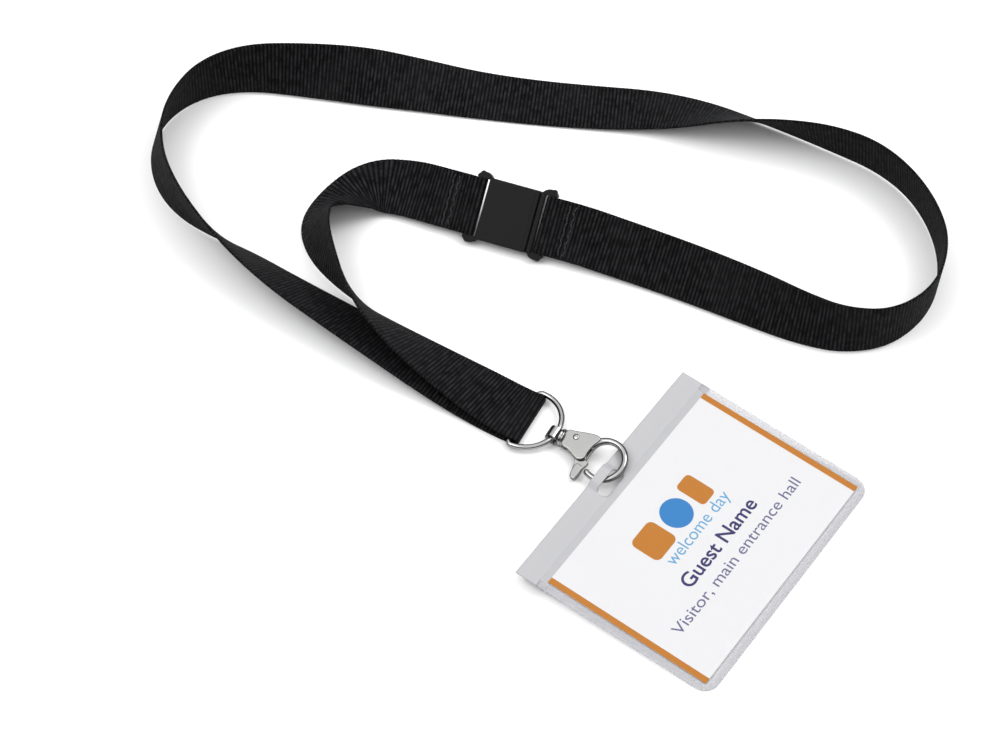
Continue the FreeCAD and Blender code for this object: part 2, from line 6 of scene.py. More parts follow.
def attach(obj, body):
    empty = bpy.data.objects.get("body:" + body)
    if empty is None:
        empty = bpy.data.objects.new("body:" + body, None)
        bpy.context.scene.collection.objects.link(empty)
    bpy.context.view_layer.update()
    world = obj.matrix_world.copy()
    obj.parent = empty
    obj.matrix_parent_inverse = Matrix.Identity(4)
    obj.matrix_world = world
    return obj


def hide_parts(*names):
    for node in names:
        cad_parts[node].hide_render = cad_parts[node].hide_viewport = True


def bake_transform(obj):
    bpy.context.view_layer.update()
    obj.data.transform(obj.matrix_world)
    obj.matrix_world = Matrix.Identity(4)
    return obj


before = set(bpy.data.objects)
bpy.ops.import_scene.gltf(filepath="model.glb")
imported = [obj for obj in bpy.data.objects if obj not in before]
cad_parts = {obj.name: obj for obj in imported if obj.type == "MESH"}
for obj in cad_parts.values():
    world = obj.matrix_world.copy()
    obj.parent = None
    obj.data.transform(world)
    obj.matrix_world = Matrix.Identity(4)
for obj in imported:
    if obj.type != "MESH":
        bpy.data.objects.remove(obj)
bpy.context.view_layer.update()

# ---------------------------------------------------------------- table frame
# Pieces are laid out in millimetres on the table, then moved so that the origin is the
# bottom centre of the hardware.
MM = 0.001
SHIFT = Vector((-52.56, 22.64, 0.0)) * MM

STRAP_WIDTH = 20.4
STRAP_THICK = 0.9
STRAP_LIFT = 0.1


def seat(x, y, z, *turns):
    """Matrix from a seat's own millimetres to metres in the row frame."""
    place = Matrix.Translation(SHIFT + Vector((x, y, z)) * MM)
    for axis, degrees in turns:
        place = place @ Matrix.Rotation(math.radians(degrees), 4, axis)
    return place @ Matrix.Scale(MM, 4)


DRING = seat(8.89, -19.39, 2.0, ("Z", -28.0))
HOOK = seat(17.711, -26.232, 2.965, ("Z", -29.5), ("Y", -7.5), ("X", 14.0))
HOLDER = seat(41.3, -47.2, 4.1, ("Z", 54.46), ("X", 3.3))
BUCKLE = seat(3.6, 60.9, 8.85, ("Z", -19.5), ("X", 38.0))
BAR_X = 12.9


# ---------------------------------------------------------------- camera
camera_data = bpy.data.cameras.new("camera")
camera_data.lens = 108.0
camera_data.sensor_width = 36.0
camera_data.clip_end = 20.0
camera = bpy.data.objects.new("camera", camera_data)
camera_reach = 1.002
camera_rise = math.radians(54.4)
camera.location = SHIFT + Vector((0, -math.cos(camera_rise), math.sin(camera_rise))) * camera_reach
camera.rotation_euler = (math.pi / 2 - camera_rise, 0, 0)
bpy.context.collection.objects.link(camera)
bpy.context.scene.camera = camera


# ---------------------------------------------------------------- node helpers
def shader(name, **settings):
    material = bpy.data.materials.new(name)
    material.use_nodes = True
    surface = material.node_tree.nodes["Principled BSDF"]
    for key, value in settings.items():
        surface.inputs[key.replace("_", " ")].default_value = value
    return material, material.node_tree, surface


def add(tree, kind, **settings):
    node = tree.nodes.new(kind)
    for key, value in settings.items():
        setattr(node, key, value)
    return node


def wire(tree, source, target):
    tree.links.new(source, target)


def value_of(tree, operation, first, second=None):
    node = add(tree, "ShaderNodeMath", operation=operation)
    for socket, given in zip(node.inputs, (first, second)):
        if given is None:
            continue
        if isinstance(given, (int, float)):
            socket.default_value = given
        else:
            wire(tree, given, socket)
    return node.outputs[0]


def noise(tree, scale, detail=2.0, vector=None):
    node = add(tree, "ShaderNodeTexNoise")
    node.inputs["Scale"].default_value = scale
    node.inputs["Detail"].default_value = detail
    if vector is not None:
        wire(tree, vector, node.inputs["Vector"])
    return node.outputs["Fac"]


def object_place(tree):
    return add(tree, "ShaderNodeTexCoord").outputs["Object"]


def remap(tree, source, low, high, new_low, new_high):
    node = add(tree, "ShaderNodeMapRange")
    wire(tree, source, node.inputs["Value"])
    node.inputs["From Min"].default_value = low
    node.inputs["From Max"].default_value = high
    node.inputs["To Min"].default_value = new_low
    node.inputs["To Max"].default_value = new_high
    return node.outputs["Result"]


def blend_colours(tree, share, first, second):
    node = add(tree, "ShaderNodeMix", data_type="RGBA")
    wire(tree, share, node.inputs["Factor"])
    for socket, colour in ((node.inputs["A"], first), (node.inputs["B"], second)):
        if isinstance(colour, tuple):
            socket.default_value = colour
        else:
            wire(tree, colour, socket)
    return node.outputs["Result"]


def bump(tree, surface, height, distance, strength=1.0):
    node = add(tree, "ShaderNodeBump")
    node.inputs["Distance"].default_value = distance
    node.inputs["Strength"].default_value = strength
    wire(tree, height, node.inputs["Height"])
    wire(tree, node.outputs["Normal"], surface.inputs["Normal"])
    return node


# ---------------------------------------------------------------- materials
RIB_PITCH = 1.3
WARP_PITCH = 0.62


def webbing_material():
    """Black ribbed webbing: round ribs across the width, with warp threads crossing them; the rib and warp
    crests carry a painted highlight in the base colour.
    """
    material, tree, surface = shader(
        "webbing",
        Roughness=0.72,
        Specular_IOR_Level=0.03,
        Sheen_Weight=0.015,
        Sheen_Roughness=0.45,
        Sheen_Tint=(0.75, 0.78, 0.85, 1),
    )
    place = add(tree, "ShaderNodeSeparateXYZ")
    wire(tree, add(tree, "ShaderNodeTexCoord").outputs["UV"], place.inputs[0])
    along = value_of(tree, "MULTIPLY", place.outputs["X"], STRAP_WIDTH)
    across = value_of(tree, "MULTIPLY", place.outputs["Y"], STRAP_WIDTH)
    rib = value_of(tree, "MULTIPLY", along, math.pi / RIB_PITCH)
    rib = value_of(tree, "ABSOLUTE", value_of(tree, "SINE", rib))
    row = value_of(tree, "FLOOR", value_of(tree, "DIVIDE", along, RIB_PITCH))
    phase = value_of(tree, "MULTIPLY", row, math.pi / 2)
    warp = value_of(tree, "MULTIPLY", across, math.pi / WARP_PITCH)
    warp = value_of(tree, "ABSOLUTE", value_of(tree, "SINE", value_of(tree, "ADD", warp, phase)))
    weave = value_of(tree, "ADD", value_of(tree, "POWER", rib, 0.6), value_of(tree, "MULTIPLY", warp, 0.4))
    spread = add(tree, "ShaderNodeCombineXYZ")
    wire(tree, value_of(tree, "MULTIPLY", row, 0.73), spread.inputs["X"])
    wire(tree, value_of(tree, "MULTIPLY", across, 0.3), spread.inputs["Y"])
    uneven = remap(tree, noise(tree, 1.0, 2.0, spread.outputs[0]), 0.35, 0.65, 0.25, 1.0)
    fuzz = noise(tree, 2600.0, 3.0, object_place(tree))
    patch = noise(tree, 55.0, 3.0, object_place(tree))
    height = value_of(tree, "ADD", weave, value_of(tree, "MULTIPLY", fuzz, 0.5))
    bump(tree, surface, height, 0.00022)
    # painted highlight: this mask lightens the rib and warp crests in the base colour, as if lit
    light = value_of(tree, "POWER", rib, 1.8)
    light = value_of(tree, "MULTIPLY", light, remap(tree, warp, 0.0, 1.0, 0.5, 1.0))
    light = value_of(tree, "MULTIPLY", light, uneven)
    light = value_of(tree, "MULTIPLY", light, remap(tree, fuzz, 0.3, 0.7, 0.6, 1.2))
    # the first colour is the webbing's own black; the lighter yarn colour after it is the painted highlight on
    # the crests
    dark_yarn = (0.0012, 0.0012, 0.0014, 1)
    crest_highlight_yarn = (0.033, 0.033, 0.0355, 1)
    shaded = blend_colours(tree, light, dark_yarn, crest_highlight_yarn)
    # lighter in random patches across the webbing
    lighter_patches = blend_colours(tree, remap(tree, patch, 0.45, 0.75, 0.0, 0.35), shaded, (0.017, 0.017, 0.018, 1))
    wire(tree, lighter_patches, surface.inputs["Base Color"])
    wire(tree, remap(tree, fuzz, 0.3, 0.7, 0.62, 0.85), surface.inputs["Roughness"])
    return material


def thread_material():
    material, tree, surface = shader("thread", Roughness=0.6, Sheen_Weight=0.15, Specular_IOR_Level=0.4)
    surface.inputs["Base Color"].default_value = (0.012, 0.012, 0.014, 1)
    bump(tree, surface, noise(tree, 4200.0, 2.0, object_place(tree)), 0.0001)
    return material


def plastic_material():
    """Satin black moulded plastic with a fine spark-eroded grain."""
    material, tree, surface = shader("buckle_plastic", Specular_IOR_Level=0.12)
    grain = noise(tree, 3200.0, 2.0, object_place(tree))
    wear = noise(tree, 180.0, 4.0, object_place(tree))
    wire(tree, remap(tree, wear, 0.35, 0.7, 0.3, 0.44), surface.inputs["Roughness"])
    colour = blend_colours(tree, wear, (0.004, 0.004, 0.0045, 1), (0.008, 0.008, 0.0085, 1))
    wire(tree, colour, surface.inputs["Base Color"])
    bump(tree, surface, grain, 0.00003)
    return material


def metal_material(name, colour, low, high):
    material, tree, surface = shader(name, Metallic=1.0, Specular_Tint=(0.12, 0.12, 0.12, 1))
    smudge = noise(tree, 260.0, 4.0, object_place(tree))
    wire(tree, remap(tree, smudge, 0.35, 0.7, low, high), surface.inputs["Roughness"])
    dull = tuple(channel * 0.86 for channel in colour) + (1,)
    wire(tree, blend_colours(tree, smudge, colour + (1,), dull), surface.inputs["Base Color"])
    bump(tree, surface, noise(tree, 900.0, 3.0, object_place(tree)), 0.000012)
    return material


def film_material(name, colour, alpha, roughness):
    """Vinyl film: see-through, with a soft shine that wanders over slow waves."""
    material, tree, surface = shader(name, Alpha=alpha, Specular_IOR_Level=0.4)
    surface.inputs["Base Color"].default_value = colour + (1,)
    waves = noise(tree, 28.0, 2.0, object_place(tree))
    wire(tree, remap(tree, waves, 0.3, 0.7, roughness, roughness + 0.1), surface.inputs["Roughness"])
    bump(tree, surface, waves, 0.0008, 0.5)
    return material


def paper_material(name, colour, roughness=0.45):
    material, tree, surface = shader(name, Specular_IOR_Level=0.08)
    fibre = noise(tree, 900.0, 4.0, object_place(tree))
    tinted = tuple(channel * 0.97 for channel in colour) + (1,)
    wire(tree, blend_colours(tree, fibre, colour + (1,), tinted), surface.inputs["Base Color"])
    uneven = remap(tree, fibre, 0.3, 0.7, roughness - 0.05, roughness + 0.08)
    wire(tree, uneven, surface.inputs["Roughness"])
    return material


WEBBING = webbing_material()
THREAD = thread_material()
PLASTIC = plastic_material()
NICKEL = metal_material("nickel", (0.36, 0.36, 0.355), 0.12, 0.2)
SPRING = metal_material("spring_steel", (0.40, 0.40, 0.41), 0.2, 0.3)
GREY_FILM = film_material("grey_vinyl", (0.44, 0.44, 0.455), 0.9, 0.3)
RIM_FILM = film_material("rim_vinyl", (0.60, 0.60, 0.63), 0.26, 0.2)
CLEAR_FILM = film_material("clear_vinyl", (0.45, 0.45, 0.47), 0.03, 0.12)
WELD_FILM = film_material("weld_vinyl", (0.58, 0.58, 0.61), 0.3, 0.14)
CARD_WHITE = paper_material("card_white", (0.655, 0.655, 0.665))
INK_ORANGE = paper_material("ink_orange", (0.43, 0.15, 0.004))
INK_BLUE = paper_material("ink_blue", (0.016, 0.17, 0.44))
INK_SKY = paper_material("ink_sky", (0.10, 0.31, 0.52))
INK_NAVY = paper_material("ink_navy", (0.025, 0.02, 0.11))
INK_MAUVE = paper_material("ink_mauve", (0.12, 0.105, 0.22))


# ---------------------------------------------------------------- mesh helpers
def finish_piece(obj, material, body, nodes=()):
    obj.data.materials.clear()
    obj.data.materials.append(material)
    if body:
        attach(obj, body)
    if nodes:
        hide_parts(*nodes)
    return obj


def mesh_piece(name, verts, faces, place=None, smooth=True):
    mesh = bpy.data.meshes.new(name)
    mesh.from_pydata([place @ Vector(v) if place else Vector(v) for v in verts], [], faces)
    mesh.update()
    mesh.polygons.foreach_set("use_smooth", [smooth] * len(mesh.polygons))
    obj = bpy.data.objects.new(name, mesh)
    bpy.context.collection.objects.link(obj)
    return obj


def soften(obj, width, segments=3, angle=35):
    """Rounded edges for a moulded or cast piece."""
    modifier = obj.modifiers.new("edges", "BEVEL")
    modifier.width = width * MM
    modifier.segments = segments
    modifier.limit_method = "ANGLE"
    modifier.angle_limit = math.radians(angle)
    modifier.harden_normals = True
    return obj


def rings_to_mesh(rings, closed=False):
    """Verts and faces of a skin over rings of equal size, capped at both ends unless closed."""
    count = len(rings[0])
    verts = [point for ring in rings for point in ring]
    faces = []
    last = len(rings) if closed else len(rings) - 1
    for row in range(last):
        here = row * count
        there = ((row + 1) % len(rings)) * count
        for i in range(count):
            j = (i + 1) % count
            faces.append((here + i, here + j, there + j, there + i))
    if not closed:
        base = len(verts)
        verts += list(rings[0]) + list(rings[-1])
        faces.append(tuple(reversed(range(base, base + count))))
        faces.append(tuple(range(base + count, base + 2 * count)))
    return verts, faces


def smooth_outline(points, steps=6):
    """Closed Catmull-Rom curve through the points."""
    result = []
    count = len(points)
    for i in range(count):
        p0, p1, p2, p3 = (Vector(points[(i + k) % count] + (0,)) for k in (-1, 0, 1, 2))
        for step in range(steps):
            t = step / steps
            bend = (-p0 + 3 * p1 - 3 * p2 + p3) * t ** 3 + (2 * p0 - 5 * p1 + 4 * p2 - p3) * t ** 2
            point = (bend + (p2 - p0) * t + 2 * p1) / 2
            result.append((point.x, point.y))
    return result


def slab(name, outline, low, high, place, smooth=True):
    verts = [(x, y, low) for x, y in outline] + [(x, y, high) for x, y in outline]
    count = len(outline)
    faces = [tuple(reversed(range(count))), tuple(range(count, 2 * count))]
    for i in range(count):
        j = (i + 1) % count
        faces.append((i, j, count + j, count + i))
    return mesh_piece(name, verts, faces, place, smooth)


def turned_piece(name, profile, axis, place, centre=(0, 0, 0), sides=48):
    """Solid of revolution from (along, radius) pairs about a local axis."""
    rings = []
    for along, radius in profile:
        ring = []
        for i in range(sides):
            angle = 2 * math.pi * i / sides
            a, b = radius * math.cos(angle), radius * math.sin(angle)
            local = {"X": (along, a, b), "Y": (b, along, a), "Z": (a, b, along)}[axis]
            ring.append(tuple(c + o for c, o in zip(local, centre)))
        rings.append(ring)
    return mesh_piece(name, *rings_to_mesh(rings), place)


def round_bar(name, path, radii, place, sides=24):
    """Tube of varying radius along a local path, with rounded ends."""
    points = [Vector(p) for p in path]
    rings = []
    side = None
    for i, point in enumerate(points):
        tangent = (points[min(i + 1, len(points) - 1)] - points[max(i - 1, 0)]).normalized()
        if side is None:
            side = tangent.orthogonal().normalized()
        side = (side - tangent * side.dot(tangent)).normalized()
        up = tangent.cross(side)
        radius = radii[i]
        caps = [(0, 1)]
        if i == 0:
            caps = [(-math.cos(a), math.sin(a)) for a in (0.12, 0.5, 0.9, 1.25)] + caps
        if i == len(points) - 1:
            caps = caps + [(math.cos(a), math.sin(a)) for a in (1.25, 0.9, 0.5, 0.12)]
        for shift, share in caps:
            middle = point + tangent * radius * shift
            ring = []
            for k in range(sides):
                angle = 2 * math.pi * k / sides
                ring.append(middle + (side * math.cos(angle) + up * math.sin(angle)) * radius * share)
            rings.append(ring)
    return mesh_piece(name, *rings_to_mesh(rings), place)


def arc(centre, radius, start, end, steps):
    points = []
    for i in range(steps + 1):
        angle = math.radians(start + (end - start) * i / steps)
        points.append((centre[0] + radius * math.cos(angle), centre[1] + radius * math.sin(angle)))
    return points


# ---------------------------------------------------------------- strap routes
# x, y, z in millimetres on the table, and roll in degrees, as in the CAD.
SHORT_ROUTE = [
    (8.89, -19.39, 3.45, 0),
    (5.3, -17.5, 3.4, 0),
    (-3, -11.6, 3.2, 4),
    (-18, -1, 4.6, 20),
    (-33, 9.5, 7.4, 37),
    (-46, 21, 10.0, 60),
    (-55.5, 36, 11.0, 90),
    (-62, 50, 10.3, 112),
    (-63, 62.5, 8.5, 128),
    (-55, 71.5, 5.9, 156),
    (-43, 78.5, 4.2, 192),
    (-31, 74.9, 6.6, 206),
    (-21.0, 69.3, 9.1, 218),
    (-14.3, 66.9, 9.1, 218),
]

LONG_ROUTE = [
    (21.4, 54.3, 9.1, 218),
    (28.0, 52.0, 9.1, 218),
    (36, 48.7, 8.8, 222),
    (48, 43.7, 8.5, 227),
    (66, 35.4, 8.6, 230),
    (86, 24.8, 9.2, 236),
    (101, 16, 10.1, 248),
    (115, 10.5, 10.6, 259),
    (131, 11.5, 10.7, 270),
    (145, 23, 10.7, 275),
    (151, 41, 10.7, 272),
    (149, 58, 10.7, 266),
    (142, 74, 10.7, 261),
    (131, 86, 10.7, 260),
    (117, 93.5, 10.6, 256),
    (102, 99.5, 9.9, 243),
    (86, 105, 8.1, 225),
    (70, 110.5, 4.4, 201),
    (53, 114.6, 1.8, 186),
    (34, 116.5, 0.9, 181),
    (12, 119, 0.8, 179),
    (-10, 122, 1.7, 175),
    (-31, 125, 4.1, 162),
    (-50, 125.8, 7.7, 137),
    (-70, 126.5, 9.8, 118),
    (-90, 127, 10.6, 103),
    (-106, 121.5, 10.7, 88),
    (-116.5, 110, 10.5, 76),
    (-120.5, 96, 10.4, 74),
    (-118.5, 81, 10.6, 78),
    (-112, 68, 10.7, 88),
    (-101, 55.5, 10.5, 108),
    (-88, 45, 8.7, 130),
    (-72, 32.5, 6.8, 143),
    (-54, 20, 5.5, 152),
    (-36, 7.5, 4.1, 160),
    (-18, -3.5, 1.7, 174),
    (-4, -12, 0.5, 180),
    (5.3, -17.5, 0.35, 180),
    (8.89, -19.39, 0.35, 180),
]


def spline_points(name, places):
    """Points along the NURBS spline that the places control."""
    curve = bpy.data.curves.new(name, "CURVE")
    curve.dimensions = "3D"
    curve.resolution_u = 24
    spline = curve.splines.new("NURBS")
    spline.points.add(len(places) - 1)
    for point, place in zip(spline.points, places):
        point.co = (*place, 1.0)
    spline.order_u = 3
    spline.use_endpoint_u = True
    helper = bpy.data.objects.new(name, curve)
    bpy.context.collection.objects.link(helper)
    bpy.context.view_layer.update()
    mesh = bpy.data.meshes.new_from_object(helper)
    points = [vertex.co.copy() for vertex in mesh.vertices]
    bpy.data.objects.remove(helper)
    bpy.data.curves.remove(curve)
    bpy.data.meshes.remove(mesh)
    return points


def followed(route, name):
    """Middle points and across directions, evenly spaced, along the spline of a route."""
    centres = spline_points(name, [SHIFT + Vector((x, y, z + STRAP_LIFT)) * MM for x, y, z, roll in route])
    rolls = [p.x for p in spline_points(name + "_roll", [(roll, 0, 0) for x, y, z, roll in route])]
    walked = [0.0]
    for a, b in zip(centres, centres[1:]):
        walked.append(walked[-1] + (b - a).length)
    step = RIB_PITCH * MM / 2
    count = round(walked[-1] / step)
    result = []
    index = 0
    for i in range(count + 1):
        target = walked[-1] * i / count
        while index < len(walked) - 2 and walked[index + 1] < target:
            index += 1
        share = (target - walked[index]) / max(walked[index + 1] - walked[index], 1e-9)
        centre = centres[index].lerp(centres[index + 1], share)
        roll = math.radians(rolls[index] + (rolls[index + 1] - rolls[index]) * share)
        tangent = (centres[index + 1] - centres[index]).normalized()
        left = Vector((0, 0, 1)).cross(tangent).normalized()
        above = tangent.cross(left)
        result.append((centre, left * math.cos(roll) + above * math.sin(roll)))
    return result


def strap_section():
    """Points round the webbing's section, as (across, out of face), with rounded selvages."""
    half, thick = STRAP_WIDTH / 2, STRAP_THICK / 2
    face = [(-half + 0.45 + (STRAP_WIDTH - 0.9) * i / 12, thick) for i in range(13)]
    edge = [(half - 0.12, thick * 0.78), (half, 0), (half - 0.12, -thick * 0.78)]
    return face + edge + [(-x, -z) for x, z in face] + [(-x, -z) for x, z in edge]


SECTION = strap_section()


def ribbon(name, rows, start_length=0.0):
    """Webbing swept over (middle, across) rows; the edge dips between ribs.

    Returns the object and the length walked to its end."""
    rings = []
    lengths = []
    walked = start_length
    for i, (centre, across) in enumerate(rows):
        before = rows[max(i - 1, 0)][0]
        after = rows[min(i + 1, len(rows) - 1)][0]
        tangent = (after - before).normalized()
        if i:
            walked += (centre - before).length
        lengths.append(walked)
        face = across.cross(tangent).normalized()
        dip = 0.0 if i % 2 else 0.10
        ring = []
        for x, z in SECTION:
            edge = 1 if abs(x) > STRAP_WIDTH / 2 - 0.2 else 0
            ring.append(centre + across * (x - math.copysign(dip * edge, x)) * MM + face * z * MM)
        rings.append(ring)
    verts, faces = rings_to_mesh(rings)
    obj = mesh_piece(name, verts, faces)
    count = len(SECTION)
    layer = obj.data.uv_layers.new(name="UVMap")
    for polygon in obj.data.polygons:
        for corner in polygon.loop_indices:
            vertex = obj.data.loops[corner].vertex_index
            row, column = divmod(vertex, count)
            row = {len(rows): 0, len(rows) + 1: len(rows) - 1}.get(row, row)
            along = lengths[row] / (STRAP_WIDTH * MM)
            layer.data[corner].uv = (along, SECTION[column][0] / STRAP_WIDTH + 0.5)
    return obj, walked


def local_rows(place, profile, side, step=0.35):
    """Rows along a local (x, z) profile in a seat, with a constant across direction."""
    across = (place.to_3x3() @ Vector(side)).normalized()
    rows = []
    for (x0, z0), (x1, z1) in zip(profile, profile[1:]):
        parts = max(1, round(math.hypot(x1 - x0, z1 - z0) / step))
        for i in range(parts):
            share = i / parts
            rows.append((place @ Vector((x0 + (x1 - x0) * share, 0, z0 + (z1 - z0) * share)), across))
    rows.append((place @ Vector((profile[-1][0], 0, profile[-1][1])), across))
    return rows


def loop_profile(bar_x):
    """Middle line of the webbing end that goes round an outer bar of the buckle and back."""
    side = math.copysign(1, bar_x)
    middle = 1.65
    turn = [(-x * side + bar_x, z) for x, z in arc((0, 0), middle, 90, -90, 14)]
    out = [(19.0 * side, 0.45), (17.0 * side, 0.85), (15.2 * side, 1.5)]
    back = [(15.2 * side, -1.5), (17.0 * side, -0.85), (19.0 * side, -0.47), (23.1 * side, -0.47)]
    return out + turn + back


# short stretch, from the ring to the female half
short_rows = followed(SHORT_ROUTE, "short")
strap_short, short_length = ribbon("strap_short", short_rows)
finish_piece(strap_short, WEBBING, "strap", ["strap_short"])

# long stretch; its start is a separate piece, baked in place and tied to no body
long_rows = followed(LONG_ROUTE, "long")
RELEASE_ROWS = 60
release_rows = long_rows[: RELEASE_ROWS + 1]
strap_release, release_length = ribbon("strap_release", release_rows)
finish_piece(strap_release, WEBBING, None, ["strap_release"])
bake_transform(strap_release)
strap_long, long_end = ribbon("strap_long", long_rows[RELEASE_ROWS:], release_length)
finish_piece(strap_long, WEBBING, "strap", ["strap_long"])

fold_profile = [(0, -1.55)] + [(x, z) for x, z in arc((0.0, 0), 1.55, -90, 90, 16)] + [(0, 1.55)]
fold_rows = local_rows(DRING, fold_profile, (0, -1, 0))
strap_fold = ribbon("strap_fold", fold_rows, long_end)[0]
finish_piece(strap_fold, WEBBING, "strap", ["strap_fold"])

loop_male = ribbon("strap_loop_male", local_rows(BUCKLE, loop_profile(BAR_X), (0, -1, 0)))[0]
finish_piece(loop_male, WEBBING, "buckle_male", ["strap_loop_male"])
loop_female = ribbon("strap_loop_female", local_rows(BUCKLE, loop_profile(-BAR_X), (0, 1, 0)))[0]
finish_piece(loop_female, WEBBING, "strap", ["strap_loop_female"])


def stitch_rows(name, columns, body):
    """Zigzag bar tacks across the webbing: short round threads sunk at both ends."""
    verts, faces = [], []
    count = 9
    for column, x in enumerate(columns):
        for i in range(count):
            y = (i - (count - 1) / 2) * 1.95
            path = []
            for k in range(7):
                share = k / 6 - 0.5
                height = 0.92 + 0.24 * math.cos(share * math.pi)
                lean = 0.5 if (i + column) % 2 else -0.5
                path.append(Vector((x + share * lean, y + share * 1.7, height)))
            rings = []
            for k, point in enumerate(path):
                tangent = (path[min(k + 1, 6)] - path[max(k - 1, 0)]).normalized()
                side = tangent.cross(Vector((0, 0, 1))).normalized()
                up = side.cross(tangent)
                ring = []
                for s in range(8):
                    angle = 2 * math.pi * s / 8
                    ring.append(point + (side * math.cos(angle) + up * math.sin(angle)) * 0.2)
                rings.append(ring)
            part_verts, part_faces = rings_to_mesh(rings)
            faces += [tuple(index + len(verts) for index in face) for face in part_faces]
            verts += part_verts
    obj = mesh_piece(name, verts, faces, BUCKLE)
    return finish_piece(obj, THREAD, body, [name])


stitch_rows("stitches_male", [19.6, 21.6], "buckle_male")
stitch_rows("stitches_female", [-20.4, -22.4], "strap")


# ---------------------------------------------------------------- breakaway buckle
def rounded_box(name, x, y, z, place, width, segments=3):
    outline = [(x[0], y[0]), (x[1], y[0]), (x[1], y[1]), (x[0], y[1])]
    obj = slab(name, outline, z[0], z[1], place)
    return soften(obj, width, segments)


def joined(name, parts):
    """One mesh object out of several, with each one's own modifiers applied."""
    graph = bpy.context.evaluated_depsgraph_get()
    verts, faces, smooth = [], [], []
    for part in parts:
        mesh = bpy.data.meshes.new_from_object(part.evaluated_get(graph))
        base = len(verts)
        verts += [v.co.copy() for v in mesh.vertices]
        for polygon in mesh.polygons:
            faces.append(tuple(base + i for i in polygon.vertices))
        bpy.data.meshes.remove(mesh)
    for part in parts:
        bpy.data.objects.remove(part)
    obj = mesh_piece(name, verts, faces)
    modifier = obj.modifiers.new("normals", "WEIGHTED_NORMAL")
    modifier.keep_sharp = False
    return obj


def side_frame(tag, side):
    """Rounded arms and round outer bar that the webbing goes round."""
    parts = []
    lobe = [(9.2, 10.2), (9.6, 11.5), (11.0, 12.3), (12.6, 12.4), (13.9, 11.7), (14.3, 10.2)]
    for sign in (1, -1):
        outline = [(x * side, y * sign) for x, y in lobe]
        if side * sign > 0:
            outline.reverse()
        outline = smooth_outline(outline, 4)
        parts.append(soften(slab(tag + "_arm", outline, -1.5, 1.5, BUCKLE), 0.6, 4))
    path = [(BAR_X * side, -11.6 + 23.2 * i / 12, 0) for i in range(13)]
    parts.append(round_bar(tag + "_bar", path, [1.1] * 13, BUCKLE))
    return parts


def female_half():
    parts = side_frame("female", -1)
    shell = rounded_box("female_shell", (-9.9, 8.4), (-10.9, 10.9), (1.15, 2.0), BUCKLE, 0.45, 3)
    under = rounded_box("female_under", (-9.9, 8.4), (-10.9, 10.9), (-2.0, -1.15), BUCKLE, 0.45, 3)
    parts += [shell, under]
    for low_y, high_y in ((8.5, 10.9), (-10.9, -8.5)):
        wall_y = (low_y, high_y)
        parts.append(rounded_box("female_wall", (-9.9, 8.4), wall_y, (-1.95, 1.95), BUCKLE, 0.4, 3))
    parts.append(rounded_box("female_end", (-9.9, -6.2), (-10.8, 10.8), (-1.9, 1.9), BUCKLE, 0.5, 3))
    parts.append(rounded_box("female_rim", (6.9, 8.3), (-9.9, 9.9), (1.7, 2.12), BUCKLE, 0.2, 2))
    return joined("buckle_female", parts)


def male_half():
    parts = side_frame("male", 1)
    parts.append(rounded_box("male_shoulder", (8.55, 10.5), (-10.9, 10.9), (-2.0, 2.0), BUCKLE, 0.55, 3))
    for sign in (1, -1):
        prong = [(9.2, 8.3), (9.2, 4.6), (-3.4, 5.4), (-4.9, 6.3), (-4.7, 7.6), (-3.0, 8.3), (2.0, 7.7)]
        outline = [(x, y * sign) for x, y in prong]
        if sign > 0:
            outline.reverse()
        obj = slab("male_prong", outline, -0.95, 0.95, BUCKLE)
        parts.append(soften(obj, 0.3, 2))
    parts.append(rounded_box("male_guide", (5.4, 9.2), (-1.5, 1.5), (-0.95, 0.95), BUCKLE, 0.25, 2))
    return joined("buckle_male", parts)


finish_piece(female_half(), PLASTIC, "strap", ["buckle_female"])
finish_piece(male_half(), PLASTIC, "buckle_male", ["buckle_male"])


# ---------------------------------------------------------------- snap hook
def hook_body():
    """Cast trigger hook: grooved collar, two cheeks on a spine, and the open claw."""
    profile = [(2.55, 1.25), (2.55, 2.5), (2.65, 2.85), (2.9, 3.05), (3.2, 3.05), (3.36, 2.8)]
    profile += [(3.5, 2.74), (3.64, 2.8), (3.8, 3.05), (4.1, 3.02), (4.35, 2.7), (4.5, 2.2), (4.6, 1.25)]
    parts = [turned_piece("collar", profile, "X", HOOK)]
    neck = [(4.2, 2.3), (6.2, 3.25), (8.4, 3.55), (8.2, 2.6), (6.1, 1.5), (6.0, -1.4), (6.6, -2.9), (4.2, -2.3)]
    neck = smooth_outline(neck, 5)
    parts.append(soften(slab("neck", list(reversed(neck)), -1.75, 1.75, HOOK), 0.5, 3))
    cheek = [(4.3, 2.6), (7.2, 3.5), (12.1, 4.45), (15.2, 4.5), (16.0, 3.2), (14.75, 0.6)]
    cheek += [(14.1, -2.2), (13.9, -4.3), (12.5, -5.4), (10.6, -5.2), (7.2, -3.5), (4.3, -2.4)]
    outline = list(reversed(smooth_outline(cheek, 5)))
    parts.append(soften(slab("upper_cheek", outline, 0.9, 1.85, HOOK), 0.42, 3))
    parts.append(soften(slab("lower_cheek", outline, -1.85, -0.9, HOOK), 0.42, 3))
    spine = [(4.4, 2.9), (8.2, 3.55), (12.1, 4.3), (14.9, 4.2), (13.0, 3.85), (8.2, 3.2), (4.4, 2.6)]
    spine = smooth_outline(spine, 3)
    parts.append(slab("spine", list(reversed(spine)), -1.0, 1.0, HOOK))
    steps = 72
    path, radii = [], []
    for i in range(steps + 1):
        angle = math.radians(-122.0 + 272.0 * i / steps)
        path.append((19.9 + 6.9 * math.cos(angle), -2.2 + 6.9 * math.sin(angle), 0))
        radii.append(1.0 + 0.1 * min(1, i / 30) + 0.36 * max(0, (i - 56) / 16))
    parts.append(round_bar("claw", path, radii, HOOK))
    return joined("hook_body", parts)


